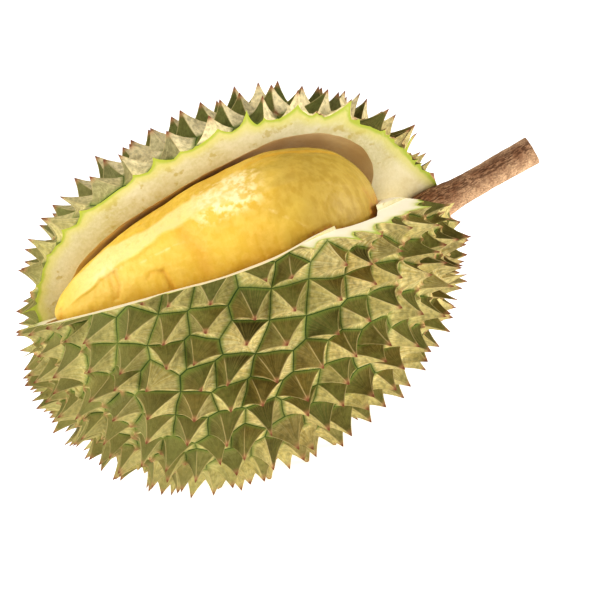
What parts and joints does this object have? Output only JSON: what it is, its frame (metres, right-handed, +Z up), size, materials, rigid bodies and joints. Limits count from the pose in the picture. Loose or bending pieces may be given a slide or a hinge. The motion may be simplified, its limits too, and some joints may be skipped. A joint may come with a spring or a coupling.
{
  "type": "opened durian fruit",
  "caption": "Opened durian lying on its side: spiny husk with a wedge of rind cut away, the lobe of yellow pulp in its locule, and the cut stem.",
  "frame": {"origin": "on the surface that the fruit lies on, under the middle of its bounding box", "axes": "+X towards the stem end, which lies higher, +Z up; the cut opens towards -Y and up"},
  "size_m": [0.3246, 0.216, 0.2196],
  "materials": {
    "husk": "rough olive-brown spines with green valleys, cream fibrous rind where it is cut",
    "pulp": "soft satin creamy pulp",
    "stem": "rough brown bark"
  },
  "bodies": {
    "root": {"husk": "husk", "pulp": "pulp", "stem": "stem"}
  },
  "joints": []
}
